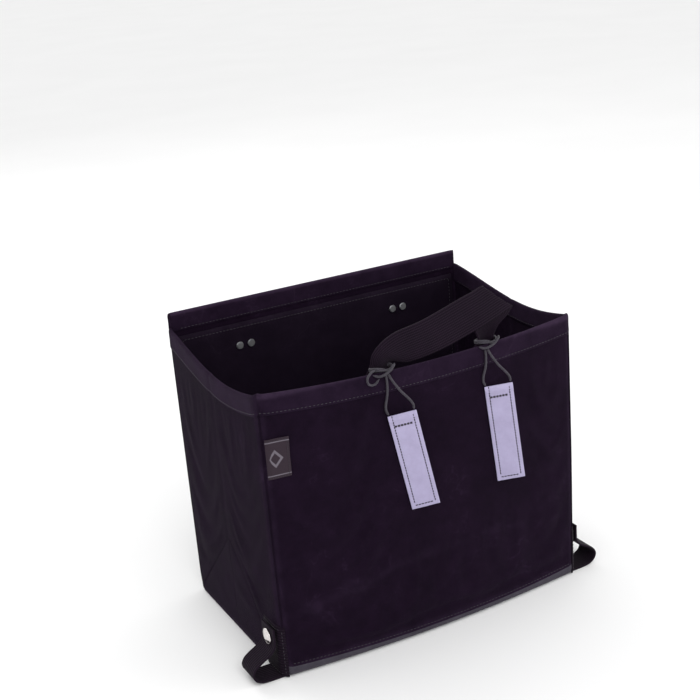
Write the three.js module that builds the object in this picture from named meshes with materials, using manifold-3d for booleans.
// A folding grocery bag for a bicycle rack: an open black cloth box with a stiff back that hooks on a rack,
// sides creased at mid depth, a bottom that folds up in the middle, and a front that comes back flat.
//
// Millimetres, +Z up. The bag stands on z = 0 with its front towards -Y, and x = 0 is its middle.
// Cloth pieces are plain closed solids a little thicker than the real cloth.
import * as THREE from "three";
import * as BufferGeometryUtils from "three/addons/utils/BufferGeometryUtils.js";
import Module from "manifold-3d";

const wasm = await Module();
wasm.setup();

// ---------------------------------------------------------------- driving sizes
const width = 318; // over the sides
const depth = 196; // over the back and front cloth, at the corners
const backHeight = 290;
const frontHeight = 266;
const sideTopAtBack = 276; // where the side hem meets the back
const sideDroop = 13; // how far the side hem hangs below a straight line
const frontBulge = 10; // how far the front stands out at mid width
const cloth = 2;
const boardThickness = 3; // stiff sheet in the back
const baseThickness = 2.4; // stiff sheets on the bottom
const gap = 0.3; // between pieces that touch
const seam = 0.4; // between cloth halves at a crease
const hemDepth = 18;
const hemThickness = 1;

const bottomInset = 5; // from the back and front to the bottom's own creases, for the folded sides
const boardMargin = 5; // from the back board's ends to the sides
const baseMargin = 3; // from the bottom boards to the edges of their cloth

const webbing = 36; // carry handle webbing
const webbingThickness = 1.6;
const pinchedWidth = 16; // handle webbing where the cord gathers it
const leftBaseX = -45; // handle ends on the front hem
const rightBaseX = 62;
const handleEndDepth = 34; // how far the ends reach down inside
const handlePivotRise = 6; // handle crease above the front hem
const handleCreaseRise = 3; // room below that crease for the loop to turn in
const loopRise = 43; // top of the loop above that crease
const rearHandleHalf = 48; // half the rear handle's width
const rearHandleDrop = 74;

const labelWidth = 18;
const labelHeight = 36;
const labelBelowHem = 20;
const labelThickness = 0.8;

const cordDiameter = 2.2;
const tabWidth = 25.4;
const tabLength = 95;
const tabThickness = 2;
const tabTurn = 25; // degrees that a hanging tab is turned about its length, right edge outwards

const strapWidth = 25; // corner loop webbing
const strapThickness = 1.8;
const snapRadius = 7.5;
const snapHeight = 38; // snap above the floor

const railWidth = 26;
const railLength = 230;
const railThickness = 3;
const railHeight = 252; // middle of the rail
const hookSpacing = 170;
const hookWidth = 24;
const hookThickness = 3;
const rackTube = 10; // diameter of the rack tube that the hooks take
const rivetRadius = 2;
const rivetSpacing = 12;
const rivetHeadRadius = 4.2;

const ringHeight = 62; // D-ring bar above the floor
const ringWidth = 32;
const ringWire = 3;
const ringShoulder = 6; // straight side of the ring, below its bar
const tabRise = 34; // sewn part of the ring's tab, above the bar

// ---------------------------------------------------------------- values that follow
const backInner = depth / 2 - cloth - gap - boardThickness;
const frontInner = -depth / 2 + cloth;
const sideInner = width / 2 - cloth;
const middle = (backInner + frontInner) / 2;
const bottomTop = cloth + gap + baseThickness;
const foldStart = bottomTop + 0.5; // lowest point of a side's diagonal fold
const backFace = depth / 2;
const handlePivotZ = frontHeight + handlePivotRise;
const handleBaseTop = handlePivotZ - handleCreaseRise;
const cordRadius = cordDiameter / 2;

// How far the front cloth stands out at a place across the bag.
function bulgeAt(x) {
  const across = (2 * x) / width;
  return frontBulge * (1 - across * across);
}

// Height of the side hem, from the back (0) to the front (1).
function sideTop(along) {
  const straight = THREE.MathUtils.lerp(sideTopAtBack, frontHeight, along);
  return straight - sideDroop * Math.sin(Math.PI * Math.pow(along, 1.3));
}

// ---------------------------------------------------------------- finishes
const finishes = {
  cloth: new THREE.MeshStandardMaterial({ color: 0x17141b, roughness: 0.9, metalness: 0 }),
  board: new THREE.MeshStandardMaterial({ color: 0x202024, roughness: 0.55, metalness: 0 }),
  webbing: new THREE.MeshStandardMaterial({ color: 0x111015, roughness: 0.8, metalness: 0 }),
  cord: new THREE.MeshStandardMaterial({ color: 0x2b2a30, roughness: 0.75, metalness: 0 }),
  reflective: new THREE.MeshStandardMaterial({ color: 0xc8c3e0, roughness: 0.4, metalness: 0.1 }),
  label: new THREE.MeshStandardMaterial({ color: 0x0e0d10, roughness: 0.7, metalness: 0 }),
  nickel: new THREE.MeshStandardMaterial({ color: 0xd8cfcb, roughness: 0.22, metalness: 1 }),
  aluminium: new THREE.MeshStandardMaterial({ color: 0xb4b6ba, roughness: 0.4, metalness: 1 }),
};

const bag = new THREE.Group();
bag.name = "folding_pannier";

function add(name, geometry, finish) {
  const mesh = new THREE.Mesh(geometry, finishes[finish]);
  mesh.name = name;
  bag.add(mesh);
  return mesh;
}

// ---------------------------------------------------------------- shape helpers
// A box whose points are moved by a rule: u, w and v run from 0 to 1 along its length, thickness and height.
function formed(lengthSteps, heightSteps, place) {
  const box = new THREE.BoxGeometry(1, 1, 1, lengthSteps, 1, heightSteps);
  const points = box.attributes.position;
  for (let i = 0; i < points.count; i += 1) {
    const spot = place(points.getX(i) + 0.5, points.getY(i) + 0.5, points.getZ(i) + 0.5);
    points.setXYZ(i, spot[0], spot[1], spot[2]);
  }
  return box;
}

function block(x, y, z) {
  return formed(1, 1, (u, w, v) => [
    THREE.MathUtils.lerp(x[0], x[1], u),
    THREE.MathUtils.lerp(y[0], y[1], w),
    THREE.MathUtils.lerp(z[0], z[1], v),
  ]);
}

function outline(points) {
  return new THREE.Shape(points.map(([a, b]) => new THREE.Vector2(a, b)));
}

// An outline in the y-z plane, drawn along +X from x.
function alongX(shape, x, length, curveSegments = 12) {
  const solid = new THREE.ExtrudeGeometry(shape, { depth: length, bevelEnabled: false, curveSegments });
  solid.rotateX(Math.PI / 2);
  solid.rotateZ(Math.PI / 2);
  solid.translate(x, 0, 0);
  return solid;
}

// An outline in the x-z plane, drawn along +Y from y.
function alongY(shape, y, length, curveSegments = 12) {
  const solid = new THREE.ExtrudeGeometry(shape, { depth: length, bevelEnabled: false, curveSegments });
  solid.rotateX(Math.PI / 2);
  solid.translate(0, y + length, 0);
  return solid;
}

// A flat band of one thickness that follows a list of points, as a closed outline.
function bandOutline(points, thickness) {
  const sides = [[], []];
  points.forEach((point, i) => {
    const before = new THREE.Vector2(...points[Math.max(i - 1, 0)]);
    const after = new THREE.Vector2(...points[Math.min(i + 1, points.length - 1)]);
    const run = after.sub(before).normalize().multiplyScalar(thickness / 2);
    sides[0].push([point[0] - run.y, point[1] + run.x]);
    sides[1].unshift([point[0] + run.y, point[1] - run.x]);
  });
  return outline([...sides[0], ...sides[1]]);
}

function toManifold(geometry) {
  const bare = geometry.clone();
  bare.deleteAttribute("normal");
  bare.deleteAttribute("uv");
  const merged = BufferGeometryUtils.mergeVertices(bare, 1e-4);
  const vertProperties = new Float32Array(merged.attributes.position.array);
  const triVerts = new Uint32Array(merged.index.array);
  return new wasm.Manifold(new wasm.Mesh({ numProp: 3, vertProperties, triVerts }));
}

function fromManifold(solid) {
  const mesh = solid.getMesh();
  const geometry = new THREE.BufferGeometry();
  geometry.setAttribute("position", new THREE.BufferAttribute(mesh.vertProperties, 3));
  geometry.setIndex(new THREE.BufferAttribute(mesh.triVerts, 1));
  return geometry;
}

// Round holes along Y through a geometry, at a list of x-z centres.
function drilled(geometry, centres, radius) {
  let solid = toManifold(geometry);
  for (const [x, z] of centres) {
    const drill = new THREE.CylinderGeometry(radius, radius, 4 * depth, 16);
    drill.translate(x, 0, z);
    solid = solid.subtract(toManifold(drill));
  }
  return fromManifold(solid);
}

// A turned piece on a horizontal axis: profile radii against distance along the axis.
function turned(profile, segments) {
  return new THREE.LatheGeometry(profile.map(([r, a]) => new THREE.Vector2(r, a)), segments);
}

// ---------------------------------------------------------------- back
const hookCentres = [-hookSpacing / 2, hookSpacing / 2];
const rivetZ = railHeight - railWidth / 2 + rivetHeadRadius + 2;
const rivetPair = (x) => [[x - rivetSpacing / 2, rivetZ], [x + rivetSpacing / 2, rivetZ]];
const rivetPlaces = hookCentres.flatMap(rivetPair);
const rivetHole = rivetRadius + gap;

const backCloth = block([-width / 2, width / 2], [backFace - cloth, backFace], [0, backHeight]);
add("back_panel", drilled(backCloth, rivetPlaces, rivetHole), "cloth");

const boardEdge = sideInner - boardMargin;
const boardTop = backHeight - hemDepth - boardMargin;
const board = block([-boardEdge, boardEdge], [backInner, backInner + boardThickness], [bottomTop, boardTop]);
add("back_board", drilled(board, rivetPlaces, rivetHole), "board");

function backHem() {
  const inside = backFace - cloth - gap - hemThickness;
  const outside = backFace + gap + hemThickness;
  const low = backHeight - hemDepth;
  const top = backHeight + gap + hemThickness;
  return outline([
    [inside, low],
    [backFace - cloth - gap, low],
    [backFace - cloth - gap, backHeight + gap],
    [backFace + gap, backHeight + gap],
    [backFace + gap, low],
    [outside, low],
    [outside, top],
    [inside, top],
  ]);
}
add("back_hem", alongX(backHem(), -width / 2, width), "cloth");

const railFace = backFace + gap + railThickness;
const rail = block(
  [-railLength / 2, railLength / 2],
  [backFace + gap, railFace],
  [railHeight - railWidth / 2, railHeight + railWidth / 2],
);
add("hook_rail", drilled(rail, rivetPlaces, rivetHole), "aluminium");

// A hook is one bent strip: flat on the rail, over the rack tube, and down outside it.
const hookPlateFace = railFace + gap + hookThickness;
const hookInner = (rackTube + 1) / 2;
const hookTopZ = railHeight + railWidth / 2 + 4;
const hookLegLow = hookTopZ - 16;
function hookOutline() {
  const plate = railFace + gap;
  const centre = hookPlateFace + hookInner;
  const shape = new THREE.Shape();
  shape.moveTo(plate, railHeight - railWidth / 2);
  shape.lineTo(hookPlateFace, railHeight - railWidth / 2);
  shape.lineTo(hookPlateFace, hookTopZ);
  shape.absarc(centre, hookTopZ, hookInner, Math.PI, 0, true);
  shape.lineTo(centre + hookInner, hookLegLow);
  shape.lineTo(centre + hookInner + hookThickness, hookLegLow);
  shape.lineTo(centre + hookInner + hookThickness, hookTopZ);
  shape.absarc(centre, hookTopZ, hookInner + hookThickness, 0, Math.PI, false);
  shape.closePath();
  return shape;
}
hookCentres.forEach((x, i) => {
  const side = i === 0 ? "left" : "right";
  const strip = alongX(hookOutline(), x - hookWidth / 2, hookWidth, 10);
  add(`hook_${side}`, drilled(strip, rivetPair(x), rivetHole), "aluminium");
});

rivetPlaces.forEach(([x, z], i) => {
  const tail = backInner - gap;
  const head = hookPlateFace + gap;
  const rivet = turned(
    [
      [0, tail - 1.2],
      [rivetHeadRadius - 1, tail - 1.2],
      [rivetHeadRadius - 0.4, tail],
      [rivetRadius, tail],
      [rivetRadius, head],
      [rivetHeadRadius, head],
      [rivetHeadRadius * 0.75, head + 1.3],
      [0, head + 1.8],
    ],
    16,
  );
  rivet.translate(x, 0, z);
  add(`hook_rivet_${i + 1}`, rivet, "aluminium");
});

// Lower D-ring in its folded webbing tab.
const ringRoom = Math.hypot(ringWire / 2, ringWire / 2) + gap; // the bar is square
const ringBarY = backFace + gap + strapThickness + ringRoom;
function tabOutline() {
  const inner = ringRoom;
  const outer = inner + strapThickness;
  const bend = new THREE.Shape();
  const inY = backFace + gap;
  const top = ringHeight + tabRise;
  const closed = ringHeight + tabRise / 2; // above here the two layers lie together
  const secondLayer = inY + strapThickness + gap;
  bend.moveTo(inY, top);
  bend.lineTo(inY, ringHeight);
  bend.absarc(ringBarY, ringHeight, outer, Math.PI, 2 * Math.PI, false);
  bend.lineTo(ringBarY + outer, ringHeight + outer);
  bend.lineTo(secondLayer + strapThickness, closed);
  bend.lineTo(secondLayer + strapThickness, top);
  bend.lineTo(secondLayer, top);
  bend.lineTo(secondLayer, closed);
  bend.lineTo(ringBarY + inner, ringHeight + outer);
  bend.lineTo(ringBarY + inner, ringHeight);
  bend.absarc(ringBarY, ringHeight, inner, 0, Math.PI, true);
  bend.lineTo(inY + strapThickness, top);
  bend.closePath();
  return bend;
}
add("ring_tab", alongX(tabOutline(), -strapWidth / 2, strapWidth, 8), "webbing");

function ringOutline() {
  const half = ringWidth / 2;
  const shape = new THREE.Shape();
  shape.moveTo(-half, ringHeight + ringWire / 2);
  shape.lineTo(half, ringHeight + ringWire / 2);
  shape.lineTo(half, ringHeight - ringShoulder);
  shape.absarc(0, ringHeight - ringShoulder, half, 0, Math.PI, true);
  shape.closePath();
  const hole = new THREE.Path();
  const inner = half - ringWire;
  hole.moveTo(inner, ringHeight - ringWire / 2);
  hole.lineTo(-inner, ringHeight - ringWire / 2);
  hole.lineTo(-inner, ringHeight - ringShoulder);
  hole.absarc(0, ringHeight - ringShoulder, inner, Math.PI, 2 * Math.PI, false);
  shape.holes.push(hole);
  return shape;
}
add("d_ring", alongY(ringOutline(), ringBarY - ringWire / 2, ringWire, 10), "nickel");

// Rear carry handle: a loop sewn to the back hem that hangs down outside, between the hooks.
const rearHandleY = railFace + 2 * gap;
const rearHandleTop = backHeight - hemDepth - 2;
function rearHandleOutline() {
  const half = rearHandleHalf;
  const top = rearHandleTop;
  const low = top - rearHandleDrop;
  const shape = new THREE.Shape();
  const inner = half - strapWidth;
  shape.moveTo(-half, top);
  shape.lineTo(-half, low + half);
  shape.absarc(0, low + half, half, Math.PI, 2 * Math.PI, false);
  shape.lineTo(half, top);
  shape.lineTo(inner, top);
  shape.lineTo(inner, low + half);
  shape.absarc(0, low + half, inner, 0, Math.PI, true);
  shape.lineTo(-inner, top);
  shape.closePath();
  return shape;
}
add("rear_handle", alongY(rearHandleOutline(), rearHandleY, webbingThickness), "webbing");
for (const [side, sign] of [["left", -1], ["right", 1]]) {
  const outer = sign * rearHandleHalf;
  const inner = sign * (rearHandleHalf - strapWidth);
  const x = [Math.min(outer, inner), Math.max(outer, inner)];
  const y = backFace + gap + hemThickness + gap;
  const z = [rearHandleTop + webbingThickness + 1, backHeight - boardMargin];
  add(`rear_handle_end_${side}`, block(x, [y, y + webbingThickness], z), "webbing");
}

// ---------------------------------------------------------------- sides
// Each side is a rear and a front half that meet at the crease at mid depth. Below a diagonal that climbs at
// 45 degrees from the bottom corner, the cloth is a corner triangle, which folds out over the half.
function sideHalf(sign, rear, low, high, outer, thickness) {
  const nearBack = rear ? backInner - seam : middle - seam / 2;
  const nearFront = rear ? middle + seam / 2 : frontInner + seam;
  const steps = 8;
  return formed(steps, 1, (u, w, v) => {
    // u runs the other way on the left, so that the box keeps its faces pointing out on both sides
    const y = THREE.MathUtils.lerp(nearFront, nearBack, sign > 0 ? u : 1 - u);
    const x = sign * (outer - w * thickness);
    return [x, y, THREE.MathUtils.lerp(low(y), high(y), v)];
  });
}

function fromBack(y) {
  return (backInner - y) / (backInner - frontInner);
}

function diagonalAt(y) {
  return foldStart + Math.min(backInner - y, y - frontInner);
}

function cornerTriangle(rear) {
  const corner = rear ? backInner - 1 : frontInner + 1;
  const far = rear ? middle + seam / 2 : middle - seam / 2;
  const low = 2 * gap;
  return outline([
    [corner, low],
    [far, low],
    [far, diagonalAt(far) - 2 * seam],
    [corner, diagonalAt(corner) - 2 * seam],
  ]);
}

for (const [side, sign] of [["left", -1], ["right", 1]]) {
  for (const rear of [true, false]) {
    const part = rear ? "rear" : "front";
    const top = (y) => sideTop(fromBack(y));
    const outer = sideInner + cloth;
    add(`side_${side}_${part}`, sideHalf(sign, rear, diagonalAt, top, outer, cloth), "cloth");
    const hemOuter = outer + gap + hemThickness;
    const hemLow = (y) => top(y) - hemDepth;
    add(`side_hem_${side}_${part}`, sideHalf(sign, rear, hemLow, top, hemOuter, hemThickness), "cloth");
    const start = sign > 0 ? sideInner : -sideInner - cloth;
    add(`corner_${side}_${part}`, alongX(cornerTriangle(rear), start, cloth), "cloth");
  }
}

// ---------------------------------------------------------------- bottom
const bottomEdge = sideInner - 2 * gap;
for (const rear of [true, false]) {
  const part = rear ? "rear" : "front";
  const y = rear
    ? [middle + seam / 2, backInner - bottomInset]
    : [frontInner + bottomInset, middle - seam / 2];
  add(`bottom_${part}`, block([-bottomEdge, bottomEdge], y, [0, cloth]), "cloth");
  const boardX = [-bottomEdge + baseMargin, bottomEdge - baseMargin];
  const boardY = [y[0] + (rear ? seam : baseMargin), y[1] - (rear ? baseMargin : seam)];
  add(`bottom_board_${part}`, block(boardX, boardY, [cloth + gap, bottomTop]), "board");
}

// ---------------------------------------------------------------- front
function frontSheet(x, inner, thickness, z, steps) {
  return formed(steps, 1, (u, w, v) => {
    const across = THREE.MathUtils.lerp(x[0], x[1], u);
    const y = THREE.MathUtils.lerp(inner - thickness, inner, w) - bulgeAt(across);
    return [across, y, THREE.MathUtils.lerp(z[0], z[1], v)];
  });
}
const frontEdges = [-width / 2, width / 2];
add("front_panel", frontSheet(frontEdges, frontInner, cloth, [0, frontHeight], 20), "cloth");
const hemInner = frontInner - cloth - gap;
const frontHemZ = [frontHeight - hemDepth, frontHeight];
add("front_hem", frontSheet(frontEdges, hemInner, hemThickness, frontHemZ, 20), "cloth");

const labelX = [-width / 2 + cloth, -width / 2 + cloth + labelWidth];
const labelTop = frontHeight - hemDepth - labelBelowHem;
add("label", frontSheet(labelX, hemInner, labelThickness, [labelTop - labelHeight, labelTop], 4), "label");

// Handle ends, sewn inside the front hem and gathered where they come out over it.
function handleEndY(x) {
  return frontInner - bulgeAt(Math.abs(x) + webbing / 2) + 2 * gap;
}
for (const [side, x] of [["left", leftBaseX], ["right", rightBaseX]]) {
  const wide = frontHeight - handleEndDepth / 3;
  const pad = outline([
    [x - webbing / 2, frontHeight - handleEndDepth],
    [x + webbing / 2, frontHeight - handleEndDepth],
    [x + webbing / 2, wide],
    [x + pinchedWidth / 2, frontHeight - 1],
    [x + pinchedWidth / 2, handleBaseTop],
    [x - pinchedWidth / 2, handleBaseTop],
    [x - pinchedWidth / 2, frontHeight - 1],
    [x - webbing / 2, wide],
  ]);
  add(`handle_end_${side}`, alongY(pad, handleEndY(x), 2 * webbingThickness), "webbing");
}

// Handle loop: one run leans up to the right, folds on a slanted crease, and comes down to the right end.
const strapY = handleEndY(leftBaseX);
const layerGap = 0.8;
function handleLoop() {
  const low = handlePivotZ + gap;
  const pinch = pinchedWidth / 2;
  const foldHigh = [rightBaseX, handlePivotZ + loopRise];
  const foldLow = [foldHigh[0] + 0.83 * webbing, foldHigh[1] - 0.69 * webbing];
  const frontRun = outline([
    [leftBaseX - pinch, low],
    [leftBaseX + 1.3 * webbing, low],
    [rightBaseX - 0.28 * webbing, handlePivotZ + 0.25 * webbing],
    foldLow,
    foldHigh,
    [leftBaseX + 0.4 * webbing, handlePivotZ + 0.45 * webbing],
  ]);
  const rearRun = outline([
    [rightBaseX - pinch, low],
    [rightBaseX + pinch, low],
    [foldLow[0] - 4, handlePivotZ + 0.2 * webbing],
    foldLow,
    foldHigh,
    [rightBaseX - 5, handlePivotZ + 0.28 * webbing],
  ]);
  const inside = ([x, z]) => [x - webbingThickness, z - webbingThickness];
  const fold = outline([foldHigh, inside(foldHigh), inside(foldLow), foldLow]);
  const rearY = strapY + webbingThickness + layerGap;
  const whole = toManifold(alongY(frontRun, strapY, webbingThickness))
    .add(toManifold(alongY(rearRun, rearY, webbingThickness)))
    .add(toManifold(alongY(fold, strapY, 2 * webbingThickness + layerGap)));
  return fromManifold(whole);
}
add("handle_loop", handleLoop(), "webbing");

// ---------------------------------------------------------------- pulls
// An elastic cord is hitched round each handle end and carries a stitched reflective tab.
const hitchZ = frontHeight + gap + cordRadius + 0.7;
const hitchRoom = 3.4; // between the gathered webbing and the cord round it
const pulls = [
  { side: "left", endX: leftBaseX, x: leftBaseX + 1.5, topX: leftBaseX + 11.4, drop: 41.9, lean: 11 },
  { side: "right", endX: rightBaseX, x: rightBaseX - 4.5, topX: rightBaseX + 4.4, drop: 41.1, lean: 6 },
];

// One leg of the free cord, from a top corner of the tab to the hitch: how far across, and what part of the drop.
const cordLeg = [
  [11, 0.985],
  [11.8, 0.86],
  [10.2, 0.7],
  [5.6, 0.44],
  [2.5, 0.18],
  [2, 0.07],
];

function cordSection() {
  const corners = Array.from({ length: 8 }, (unused, i) => {
    const angle = (Math.PI * i) / 4;
    return [cordRadius * Math.cos(angle), cordRadius * Math.sin(angle)];
  });
  return outline(corners);
}

for (const pull of pulls) {
  const nearest = Math.max(0, pull.topX - tabWidth / 2); // the tab lies on the fullest cloth from here
  const frontOuter = frontInner - cloth - bulgeAt(nearest);
  const hitchFront = frontOuter - 2 * gap - hemThickness - cordRadius - 1.2;
  const hitchBack = handleEndY(pull.endX) + 2 * webbingThickness + cordRadius + hitchRoom;
  const hitchHalf = pinchedWidth / 2 + cordRadius + hitchRoom;
  const ring = new THREE.TorusGeometry(hitchHalf, cordRadius, 8, 24);
  ring.scale(1, (hitchBack - hitchFront) / 2 / hitchHalf, 1);
  ring.translate(pull.endX, (hitchBack + hitchFront) / 2, hitchZ);
  add(`cord_hitch_${pull.side}`, ring, "cord");

  const tabBack = frontOuter - 2 * gap;
  const lean = THREE.MathUtils.degToRad(pull.lean);
  const turn = THREE.MathUtils.degToRad(tabTurn);
  const upwards = new THREE.Vector3(-Math.sin(lean), 0, Math.cos(lean));
  const widthways = new THREE.Vector3(Math.cos(lean) * Math.cos(turn), -Math.sin(turn), Math.sin(lean) * Math.cos(turn));
  const backwards = upwards.clone().cross(widthways);
  const apex = new THREE.Vector3(pull.x, hitchFront, hitchZ - cordDiameter - gap);
  const topBack = new THREE.Vector3(pull.topX, tabBack - (tabWidth / 2) * Math.sin(turn), hitchZ - pull.drop);
  const topMiddle = topBack.clone().addScaledVector(backwards, -tabThickness / 2);
  const place = (across, drop) => apex.clone().lerp(topMiddle, drop).addScaledVector(widthways, across);
  const leftLeg = cordLeg.map(([across, drop]) => place(-across, drop));
  const rightLeg = cordLeg.map(([across, drop]) => place(across, drop)).reverse();
  const extrudePath = new THREE.CatmullRomCurve3([...leftLeg, apex, ...rightLeg]);
  add(`cord_${pull.side}`, new THREE.ExtrudeGeometry(cordSection(), { steps: 40, extrudePath }), "cord");

  const corners = [
    [-tabWidth / 2, -tabLength],
    [tabWidth / 2, -tabLength],
    [tabWidth / 2, 0],
    [-tabWidth / 2, 0],
  ];
  const tab = alongY(outline(corners), -tabThickness, tabThickness);
  tab.applyMatrix4(new THREE.Matrix4().makeBasis(widthways, backwards, upwards).setPosition(topBack));
  add(`tab_${pull.side}`, tab, "reflective");
}

// ---------------------------------------------------------------- corner loops
// At each lower front corner a webbing patch is sewn to the corner seam. The loop's lower run is sewn to its
// foot, stands out as a bight, and its upper run comes back up the patch and snaps shut on it.
const patchThickness = 1.2;
const patchBack = frontInner + 33;
const patchFront = frontInner - cloth + 1;
const loopY = patchFront + 4;
const standOff = sideInner + cloth + gap;
const patchFace = standOff + patchThickness;
const strapOut = 3; // from the patch to the middle of the snapped strap
const bightOut = 26;
const bightHeight = 11;
const lowerRun = [
  [0.6, 1.3],
  [12, 1.3],
  [21, 3.2],
  [bightOut - 1.2, 7],
  [bightOut, bightHeight - seam],
];
const upperRun = [
  [bightOut, bightHeight + seam],
  [bightOut - 2, 16.5],
  [15, 22],
  [7, 26],
  [strapOut, 31],
  [strapOut, snapHeight + 11],
];
for (const [side, sign] of [["left", -1], ["right", 1]]) {
  const place = ([out, z]) => [sign * (patchFace + out), z];
  const patchX = [Math.min(sign * standOff, sign * patchFace), Math.max(sign * standOff, sign * patchFace)];
  add(`corner_patch_${side}`, block(patchX, [patchFront, patchBack], [3, snapHeight + 13]), "webbing");
  const lower = bandOutline(lowerRun.map(place), strapThickness);
  const upper = bandOutline(upperRun.map(place), strapThickness);
  add(`loop_foot_${side}`, alongY(lower, loopY, strapWidth), "webbing");
  const upperSolid = alongY(upper, loopY, strapWidth);
  add(`loop_strap_${side}`, upperSolid, "webbing");

  // snap fastener: cap outside the strap, socket behind it, stud on the patch
  const snapY = loopY + strapWidth / 2;
  const strapOuter = strapOut + strapThickness / 2 + gap;
  const strapInner = strapOut - strapThickness / 2 - gap;
  const facing = (profile) => {
    const solid = turned(profile, 20);
    solid.rotateZ(-sign * Math.PI / 2);
    solid.translate(sign * patchFace, snapY, snapHeight);
    return solid;
  };
  add(`snap_cap_${side}`, facing([
    [0, strapOuter],
    [snapRadius - 0.4, strapOuter],
    [snapRadius, strapOuter + 0.5],
    [snapRadius * 0.86, strapOuter + 1.6],
    [snapRadius * 0.55, strapOuter + 2.5],
    [0, strapOuter + 2.9],
  ]), "nickel");
  add(`snap_socket_${side}`, facing([
    [2.7, strapInner - 0.9],
    [5, strapInner - 0.9],
    [5, strapInner],
    [2.7, strapInner],
    [2.7, strapInner - 0.9],
  ]), "nickel");
  add(`snap_stud_${side}`, facing([
    [0, gap],
    [4.4, gap],
    [4.4, gap + 0.3],
    [2.2, gap + 0.3],
    [2.2, strapInner - 0.2],
    [0, strapInner - 0.2],
  ]), "nickel");
}

export default bag;
